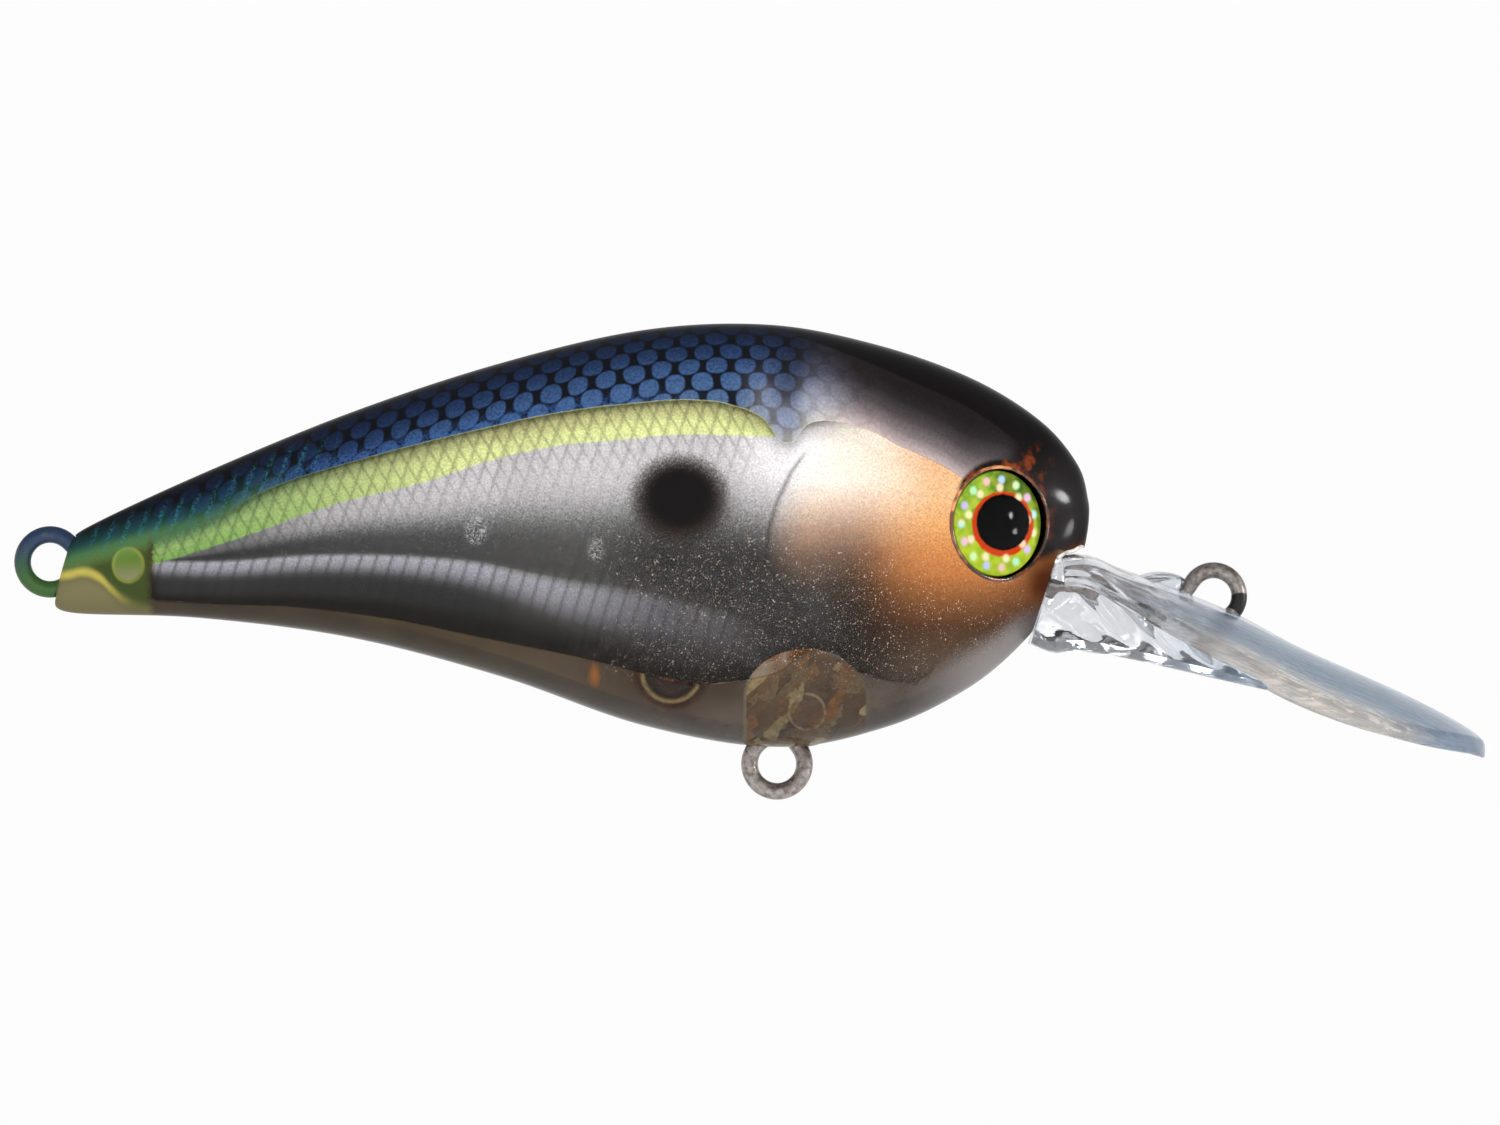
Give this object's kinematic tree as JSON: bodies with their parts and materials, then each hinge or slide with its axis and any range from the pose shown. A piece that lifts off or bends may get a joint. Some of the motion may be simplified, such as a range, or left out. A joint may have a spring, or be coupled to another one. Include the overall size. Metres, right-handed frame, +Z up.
{
  "type": "crankbait lure",
  "caption": "Deep-diving crankbait: hollow shad-shaped body with foil inserts, long clear diving lip, wire line tie and hook hangers, and domed eyes.",
  "frame": {"origin": "centre of the line tie's eye, in the lure's plane of symmetry", "axes": "+X from the tail to the head and lip, +Z up from the belly to the back, +Y towards the fish's left side"},
  "size_m": [0.0827, 0.016, 0.0268],
  "materials": {
    "shell": "clear moulded shell, painted and clear-coated",
    "foil": "embossed metallic film",
    "lip": "clear polycarbonate",
    "hanger_steel": "satin stainless wire",
    "eye_print": "printed holographic film",
    "eye_dome": "clear resin",
    "ballast": "bare weight metal",
    "brass_ball": "polished",
    "steel_ball": "polished"
  },
  "bodies": {
    "body": {"body_shell_right": "shell", "body_shell_left": "shell", "foil_insert_right": "foil", "foil_insert_left": "foil", "diving_lip": "lip", "line_tie": "hanger_steel", "belly_hanger": "hanger_steel", "tail_hanger": "hanger_steel", "eye_disc_right": "eye_print", "eye_disc_left": "eye_print", "eye_dome_right": "eye_dome", "eye_dome_left": "eye_dome", "ballast_weight": "ballast"},
    "weight_ball": {"weight_ball": "brass_ball"},
    "rattle_ball_front": {"rattle_ball_front": "steel_ball"},
    "rattle_ball_rear": {"rattle_ball_rear": "steel_ball"}
  },
  "joints": [
    {"name": "weight_ball_slide", "type": "slide", "parent": "body", "child": "weight_ball", "axis": [0, 1, 0], "range_m": [-0.00065, 0.00065]},
    {"name": "rattle_front_slide", "type": "slide", "parent": "body", "child": "rattle_ball_front", "axis": [0, 1, 0], "range_m": [-0.00195, 0.00195]},
    {"name": "rattle_rear_slide", "type": "slide", "parent": "body", "child": "rattle_ball_rear", "axis": [0, 1, 0], "range_m": [-0.00155, 0.00155]}
  ]
}
